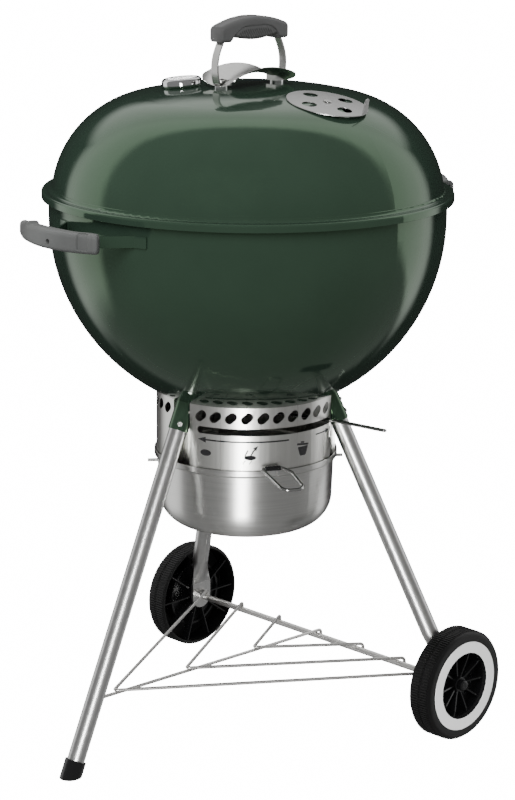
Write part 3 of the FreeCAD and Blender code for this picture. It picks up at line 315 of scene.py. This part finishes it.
def rounded_section(half_w, low, high, radii, steps=6):
    """Closed loop of (across, height) points round a rectangle; radii are for its four corners."""
    corners = ((half_w, high, 0, radii[0]), (-half_w, high, 90, radii[1]),
               (-half_w, low, 180, radii[2]), (half_w, low, 270, radii[3]))
    loop = []
    for x, z, start, r in corners:
        cx, cz = x - math.copysign(r, x), z - (r if z == high else -r)
        for k in range(steps + 1):
            a = math.radians(start + 90 * k / steps)
            loop.append((cx + r * math.cos(a), cz + r * math.sin(a)))
    return loop


def eased(value, points):
    """Smooth interpolation through (position, value) pairs."""
    if value <= points[0][0]:
        return points[0][1]
    for (a, first), (b, second) in zip(points, points[1:]):
        if value <= b:
            t = (value - a) / (b - a)
            t = t * t * (3 - 2 * t)
            return first + (second - first) * t
    return points[-1][1]


def squeezed(low, high, share):
    """A span drawn in about its own middle."""
    middle = (low + high) / 2
    return middle + (low - middle) * share, middle + (high - middle) * share


# Lid grip, in metres from the handle's middle; heights are above the floor
LID_GRIP_HALF = 0.0635
LID_GRIP_END_R = 0.004
CREST_Z = 1.0455
CREST_FALL = 0.0125
BELLY_TOP_Z = 1.0178
BELLY_DROP = 0.0052
BELLY_HALF = 0.040
BLOCK_START = 0.046
BLOCK_Z = 1.0112
MESH_STEP = 0.0012
GROOVE_TOP_Z = 1.0318
GROOVE_FALL = 0.0198
GROOVE_HALF = 0.047
GROOVE_DEPTH = 0.0014
GROOVE_WIDTH = 0.0008
PANEL_DEPTH = 0.0008
RIB_HALF = 0.036
RIB_DEPTH = 0.0016
RIB_PITCH = 0.0042


def lid_grip_section(y):
    """Closed loop of points round the grip at a distance y along it."""
    edge = max(0.0, (abs(y) - (LID_GRIP_HALF - LID_GRIP_END_R)) / LID_GRIP_END_R)
    shrink = 0.84 + 0.16 * math.sqrt(max(0.0, 1 - edge * edge))
    high = CREST_Z - CREST_FALL * (y / LID_GRIP_HALF) ** 2
    belly = BELLY_TOP_Z - BELLY_DROP * math.cos(math.pi / 2 * min(1.0, abs(y) / BELLY_HALF))
    low = eased(abs(y), ((BELLY_HALF, belly), (BLOCK_START, BLOCK_Z)))
    low, high = squeezed(low, high, 0.4 + 0.6 * shrink)
    half_w = (0.0142 + 0.0012 * math.cos(y / LID_GRIP_HALF * math.pi / 2)) * shrink
    soft = min(0.0065, (high - low) * 0.42)
    return [(x, y, z) for x, z in rounded_section(half_w, low, high, (soft, soft, 0.005, 0.005), 10)]


def lid_grip_relief(x, y, z):
    """How far the side is let in: a parting groove, the panel below it and slanted finger ribs."""
    above_groove = z - (GROOVE_TOP_Z - GROOVE_FALL * (abs(y) / GROOVE_HALF) ** 4)
    inward = 0.0
    if abs(y) < 0.046 and abs(x) > 0.006:
        inward = GROOVE_DEPTH * math.exp(-(above_groove / GROOVE_WIDTH) ** 2)
        if above_groove < -0.001:
            inward += PANEL_DEPTH
    if abs(y) < RIB_HALF and above_groove < -0.003 and abs(x) > 0.004:
        fade = min(1.0, (RIB_HALF - abs(y)) / 0.006, (-above_groove - 0.003) / 0.003)
        inward += RIB_DEPTH * fade * max(0.0, math.sin(2 * math.pi * (y + z * 0.7) / RIB_PITCH))
    return inward


def lid_grip_piece():
    """Moulded grip over the strap: thick ends, a ribbed finger belly, and a parting groove."""
    low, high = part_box("lid_grip")
    centre = (low + high) / 2
    turn = Matrix.Rotation(math.radians(-2.0), 4, "Z")
    count = 180
    loops = [lid_grip_section(-LID_GRIP_HALF + 2 * LID_GRIP_HALF * i / count) for i in range(count + 1)]
    closed = [list(zip(loop, loop[1:] + loop[:1])) for loop in loops]
    parts = [max(1, max(int(math.dist(*sides[j]) / MESH_STEP) for sides in closed))
             for j in range(len(loops[0]))]
    shift = Vector((centre.x, centre.y, 0))
    rows = []
    for sides in closed:
        row = []
        for (a, b), n in zip(sides, parts):
            for k in range(n):
                x, y, z = (p + (q - p) * k / n for p, q in zip(a, b))
                x -= math.copysign(lid_grip_relief(x, y, z), x)
                row.append(turn @ Vector((x, y, z)) + shift)
        rows.append(row)
    verts, faces = lattice(rows, False, True, True)
    return piece("lid_grip_moulding", verts, faces, DARK_GREY, "lid", ["lid_grip"], 50)


# Side grips: t runs from -1 to 1 along the arc, and each pair is (t, metres)
GRIP_ARC_R = 0.150
GRIP_OUTER_Y = -0.373
GRIP_CENTRE_Y = GRIP_OUTER_Y + GRIP_ARC_R
GRIP_HALF_ANGLE = math.asin(0.0805 / GRIP_ARC_R)
GRIP_LUG_SIDE = 1.06
GRIP_HALF_LENGTH = 0.0795
GRIP_TOP = ((-1.0, 0.7835), (-0.95, 0.7850), (-0.86, 0.7834), (-0.78, 0.7842), (-0.60, 0.7892),
            (-0.52, 0.7900), (-0.47, 0.7868), (-0.30, 0.7870), (0.1, 0.7868), (0.6, 0.7862), (0.85, 0.7868),
            (1.0, 0.7862))
GRIP_FOOT = ((-1.0, 0.7625), (-0.7, 0.7605), (0.0, 0.7596), (0.7, 0.7595), (1.0, 0.7596))
GRIP_DEPTH = ((-1.0, 0.0100), (-0.7, 0.0165), (0.0, 0.0190), (0.7, 0.0175), (1.0, 0.0125))
GRIP_ROUNDING = (0.0055, 0.003, 0.003, 0.0055)
TONGUE_T = 0.74
TONGUE_HALF = 0.0072
TONGUE_FOOT = 0.0050
TONGUE_DEPTH = 0.0028
LIP_T = 0.90
HOLE_R = 0.0034
HOLE_X = 0.007
HOLE_Z = 0.7710


def grip_relief(t, height):
    """How far the outer face is let in: a thumb tongue and the line of the end lip."""
    inside = min(TONGUE_HALF - abs(t - TONGUE_T) * GRIP_HALF_LENGTH, height - TONGUE_FOOT)
    tongue = TONGUE_DEPTH * min(1.0, max(0.0, inside / 0.0010 + 0.5))
    return tongue + 0.0009 * math.exp(-((t - LIP_T) * GRIP_HALF_LENGTH / 0.0007) ** 2)


def grip_row(t, turn):
    """Loop of points round the side grip at t."""
    a = GRIP_HALF_ANGLE * t * (GRIP_LUG_SIDE if t < 0 else 1.0)
    edge = max(0.0, (abs(t) - 0.955) / 0.045)
    pull = 0.6 + 0.4 * math.sqrt(max(0.0, 1 - edge * edge))
    low, high = squeezed(eased(t, GRIP_FOOT), eased(t, GRIP_TOP), pull)
    half = eased(t, GRIP_DEPTH) / 2
    steps = 6
    loop = rounded_section(half * pull, low, high, GRIP_ROUNDING, steps)
    row = []
    for j, (u0, v0) in enumerate(loop):
        u1, v1 = loop[(j + 1) % len(loop)]
        flat = j % (steps + 1) == steps
        n = 16 if flat else 1
        for k in range(n):
            u = u0 + (u1 - u0) * k / n
            v = v0 + (v1 - v0) * k / n
            if u > half * 0.5:
                crown = 0.0010 * (1 - ((v - (low + high) / 2) / ((high - low) / 2)) ** 2)
                u += crown - grip_relief(t, v - low)
            rho = GRIP_ARC_R - half + u
            row.append(turn @ Vector((rho * math.sin(a), GRIP_CENTRE_Y - rho * math.cos(a), v)))
    return row


def hole_cutter(name, turn):
    """Cylinder across the side grip, where its screw goes in."""
    mesh = bpy.data.meshes.new(name)
    work = bmesh.new()
    bmesh.ops.create_cone(work, cap_ends=True, segments=40, radius1=HOLE_R, radius2=HOLE_R, depth=0.022)
    off = math.asin(HOLE_X / GRIP_ARC_R)
    spot = turn @ Vector((HOLE_X, GRIP_CENTRE_Y - GRIP_ARC_R * math.cos(off), HOLE_Z))
    lean = turn @ Matrix.Rotation(off, 4, "Z")
    work.transform(Matrix.Translation(spot) @ lean @ Matrix.Rotation(math.radians(90), 4, "X"))
    work.to_mesh(mesh)
    work.free()
    tool = bpy.data.objects.new(name, mesh)
    bpy.context.scene.collection.objects.link(tool)
    bpy.context.view_layer.update()
    return tool


def side_grip_piece(tag, turn_degrees):
    """Curved moulding of a side handle, with a hooked lug on top, a screw hole and a thumb tongue."""
    turn = Matrix.Rotation(math.radians(turn_degrees), 4, "Z")
    count = 170
    rows = [grip_row(-1 + 2 * i / count, turn) for i in range(count + 1)]
    verts, faces = lattice(rows, False, True, True)
    grip = piece("side_grip_moulding_" + tag, verts, faces, GREY, "stand",
                 ["handle_grip_" + tag], 50)
    tool = hole_cutter("screw_hole_" + tag, turn)
    with bpy.context.temp_override(object=grip, active_object=grip):
        hole = grip.modifiers.new("hole", "BOOLEAN")
        hole.operation = "DIFFERENCE"
        hole.object = tool
        hole.solver = "EXACT"
        bpy.ops.object.modifier_apply(modifier=hole.name)
    bpy.data.objects.remove(tool)
    return grip


for wheel_side in ("right", "left"):
    tyre_piece(wheel_side)
lid_grip_piece()
side_grip_piece("front", -1.5)
side_grip_piece("rear", 178.5)


# Dark marks on the ash collar: painted shade standing in for its stamped cut-outs, as thin inlays that
# follow its curve. Each point is (azimuth, z).
COLLAR_R = 0.13112
INLAY = 0.0004
ARROW_Z = 0.4602


def on_collar(azimuth, z, radius=COLLAR_R):
    a = math.radians(azimuth)
    return Vector((radius * math.cos(a), radius * math.sin(a), z))


def across(metres):
    """Arc length as an angle on the collar, in degrees."""
    return math.degrees(metres / COLLAR_R)


def inlay_band(outline_low, outline_high):
    """Quads between two lists of (azimuth, z) points of the same length."""
    verts = []
    for low, high in zip(outline_low, outline_high):
        verts += [on_collar(*low), on_collar(*high), on_collar(*low, COLLAR_R - INLAY),
                  on_collar(*high, COLLAR_R - INLAY)]
    faces = []
    for k in range(len(outline_low) - 1):
        b, n = 4 * k, 4 * k + 4
        faces += [(b, n, n + 1, b + 1), (b, b + 2, n + 2, n), (b + 1, n + 1, n + 3, b + 3),
                  (b + 2, b + 3, n + 3, n + 2)]
    last = 4 * (len(outline_low) - 1)
    faces += [(0, 1, 3, 2), (last, last + 2, last + 3, last + 1)]
    return verts, faces


def edges_of(centres, widths):
    """(low, high) outlines of a stroke with the given width at each of its centre points."""
    low, high = [], []
    for k, (a, z) in enumerate(centres):
        after, before = centres[min(k + 1, len(centres) - 1)], centres[max(k - 1, 0)]
        ds, dz = math.radians(after[0] - before[0]) * COLLAR_R, after[1] - before[1]
        share = widths[k] / 2 / math.hypot(ds, dz)
        low.append((a + across(dz * share), z - ds * share))
        high.append((a - across(dz * share), z + ds * share))
    return low, high


def line(start, end, width, steps=1):
    """Straight stroke."""
    centres = [tuple(p + (q - p) * k / steps for p, q in zip(start, end)) for k in range(steps + 1)]
    return edges_of(centres, [width] * (steps + 1))


def taper(tip, base, width):
    """Arrow head from its tip to the middle of its base."""
    shares = (0.02, 0.5, 1.0)
    centres = [tuple(p + (q - p) * share for p, q in zip(tip, base)) for share in shares]
    return edges_of(centres, [width * share for share in shares])


def disc(azimuth, z, half_w, half_h):
    """Ellipse."""
    angles = [math.pi * (k + 0.02) / 16.04 for k in range(17)]
    low = [(azimuth - across(half_w * math.cos(b)), z - half_h * math.sin(b)) for b in angles]
    high = [(azimuth - across(half_w * math.cos(b)), z + half_h * math.sin(b)) for b in angles]
    return low, high


def bin_body(middle, steps=12):
    """Tapered bin under its lid."""
    low, high = [], []
    for k in range(steps + 1):
        a = middle - 3.9 + 7.8 * k / steps
        wall = max(0.0, abs(a - middle) - 2.3) / 1.6
        low.append((a, 0.4344 + 0.0118 * wall))
        high.append((a, 0.4472 + 0.0008 * k / steps))
    return low, high


def collar_marks():
    """Long and short arrows under the slot, a flat disc, an open grate with an arrow, and a bin."""
    marks = [line((-71, ARROW_Z), (-17.4, ARROW_Z), 0.0022, 24),
             taper((-76.5, ARROW_Z), (-71, ARROW_Z), 0.0085),
             line((4.4, ARROW_Z), (15.4, ARROW_Z), 0.0020, 6),
             taper((20.7, ARROW_Z), (15.4, ARROW_Z), 0.0075),
             disc(-71, 0.4412, 0.0084, 0.0046), disc(-42.5, 0.4375, 0.0086, 0.0036),
             line((-45.8, 0.4395), (-44.0, 0.4485), 0.0020),
             line((-42.4, 0.4395), (-40.6, 0.4465), 0.0020),
             taper((-37.6, 0.4548), (-39.8, 0.4495), 0.0062),
             line((-41.2, 0.4455), (-39.0, 0.4510), 0.0020),
             line((-45.5, 0.4335), (-47.1, 0.4280), 0.0010),
             line((-41.5, 0.4335), (-43.1, 0.4280), 0.0010),
             line((-11.4, 0.4518), (-2.4, 0.4498), 0.0028, 8),
             line((-8.6, 0.4542), (-5.9, 0.4536), 0.0022, 3),
             bin_body(-6.9)]
    verts, faces = [], []
    for low, high in marks:
        more, quads = inlay_band(low, high)
        base = len(verts)
        verts += more
        faces += [tuple(base + k for k in q) for q in quads]
    # The marks carry painted shade in place of the cut-outs' dark insides.
    return piece("collar_marks", verts, faces, CUTOUT_SHADE, "stand")


collar_marks()


# ---------------------------------------------------------------- floor and light
STAGE_R = 14.0
STAGE_TALL = 9.0
STAGE_BEND = 2.5
STAGE_SIDES = 64
FLOOR_GLOW = 16.0
ARCH_LIGHT = 1.15
ROOM_LIGHT = 0.26
BACK_LIGHT = 0.02


def stage_plane():
    """Pale, glowing sweep all round: it fills the background and doesn't tint or mirror in the object."""
    mesh = bpy.data.meshes.new("floor")
    profile = [(STAGE_R - STAGE_BEND + STAGE_BEND * math.sin(math.radians(a)),
                STAGE_BEND - STAGE_BEND * math.cos(math.radians(a))) for a in range(0, 91, 10)]
    profile.append((STAGE_R, STAGE_TALL))
    turns = [2 * math.pi * k / STAGE_SIDES for k in range(STAGE_SIDES)]
    rows = [[AXIS + Vector((r * math.sin(a), r * math.cos(a), z)) for a in turns] for r, z in profile]
    verts, faces = lattice(rows)
    faces.append(tuple(range(STAGE_SIDES)))
    mesh.from_pydata(verts, [], faces)
    for face in mesh.polygons:
        face.use_smooth = True
    floor = bpy.data.objects.new("floor", mesh)
    bpy.context.scene.collection.objects.link(floor)
    g = Graph("floor_paint", Roughness=0.9, Emission_Color=(1, 1, 1, 1), Emission_Strength=FLOOR_GLOW)
    g.shader.inputs["Specular IOR Level"].default_value = 0.1
    g.to("Base Color", g.colours(g.noise(3.0), (0.86, 0.86, 0.86), (0.88, 0.88, 0.88)))
    mesh.materials.append(g.material)
    floor.visible_glossy = False
    floor.visible_diffuse = False
    floor.visible_shadow = False
    floor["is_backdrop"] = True


def softbox(name, azimuth, elevation, distance, width, tall, power, aim_z=0.6):
    """Rectangular light at an azimuth from the camera's own, aimed at the object's axis."""
    light = bpy.data.lights.new(name, "AREA")
    light.shape = "RECTANGLE"
    light.size = width
    light.size_y = tall
    light.energy = power
    lamp = bpy.data.objects.new(name, light)
    bpy.context.scene.collection.objects.link(lamp)
    a, e = VIEW_AZIMUTH + math.radians(azimuth), math.radians(elevation)
    toward = Vector((-math.sin(a) * math.cos(e), math.cos(a) * math.cos(e), -math.sin(e)))
    lamp.location = AXIS + Vector((0, 0, aim_z)) - toward * distance
    lamp.rotation_mode = "QUATERNION"
    lamp.rotation_quaternion = toward.to_track_quat("-Z", "Y")
    return lamp


def studio_world():
    """Dim room with one wide arch of light: up both sides, slightly behind, and over the top."""
    world = bpy.data.worlds.new("studio")
    bpy.context.scene.world = world
    world.use_nodes = True
    tree = world.node_tree

    def node(kind, *values, **settings):
        made = tree.nodes.new(kind)
        for key, value in settings.items():
            setattr(made, key, value)
        for k, value in enumerate(values):
            if isinstance(value, bpy.types.NodeSocket):
                tree.links.new(value, made.inputs[k])
            else:
                made.inputs[k].default_value = value
        return made.outputs

    def calc(operation, *values):
        return node("ShaderNodeMath", *values, operation=operation)[0]

    def step(value, start, end):
        made = tree.nodes.new("ShaderNodeMapRange")
        made.interpolation_type = "SMOOTHSTEP"
        tree.links.new(value, made.inputs["Value"])
        made.inputs["From Min"].default_value = start
        made.inputs["From Max"].default_value = end
        return made.outputs[0]

    direction = node("ShaderNodeTexCoord")["Generated"]
    ahead = node("ShaderNodeVectorMath", direction, tuple(Vector((back.x, back.y, 0)).normalized()),
                 operation="DOT_PRODUCT")["Value"]
    height = node("ShaderNodeSeparateXYZ", direction)["Z"]
    above = calc("MAXIMUM", height, 0.0)
    below = calc("MINIMUM", height, 0.0)
    bend = calc("MULTIPLY", calc("MULTIPLY", above, above), 0.35)
    aside = node("ShaderNodeVectorMath", direction, tuple(right), operation="DOT_PRODUCT")["Value"]
    tuck = calc("MULTIPLY", calc("MULTIPLY", below, below), calc("MULTIPLY_ADD", aside, 0.9, 1.1))
    inner = step(calc("ADD", calc("ADD", ahead, bend), calc("ADD", tuck, 0.04)), 0.07, -0.07)
    outer = calc("MAXIMUM", step(ahead, -0.70, -0.58), step(height, 0.30, 0.46))
    low = step(height, -0.66, -0.44)
    arch = calc("MULTIPLY", calc("MULTIPLY", inner, outer), low)
    near = calc("MULTIPLY_ADD", step(ahead, -0.62, -0.50), ROOM_LIGHT - BACK_LIGHT, BACK_LIGHT)
    strength = calc("MULTIPLY_ADD", arch, ARCH_LIGHT, near)
    tree.links.new(strength, tree.nodes["Background"].inputs["Strength"])
    tree.nodes["Background"].inputs["Color"].default_value = (1, 1, 1, 1)


stage_plane()
studio_world()
key = softbox("key_box", -15, 35, 2.8, 2.0, 2.0, 60)
key.visible_glossy = False
FRONT_LIT = bpy.data.collections.new("front_lit")
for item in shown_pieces():
    if item.data.materials and item.data.materials[0] in LIT_FROM_FRONT:
        FRONT_LIT.objects.link(item)
strip = softbox("front_box", -4, -8, 2.4, 0.45, 1.6, 75, 0.45)
strip.light_linking.receiver_collection = FRONT_LIT
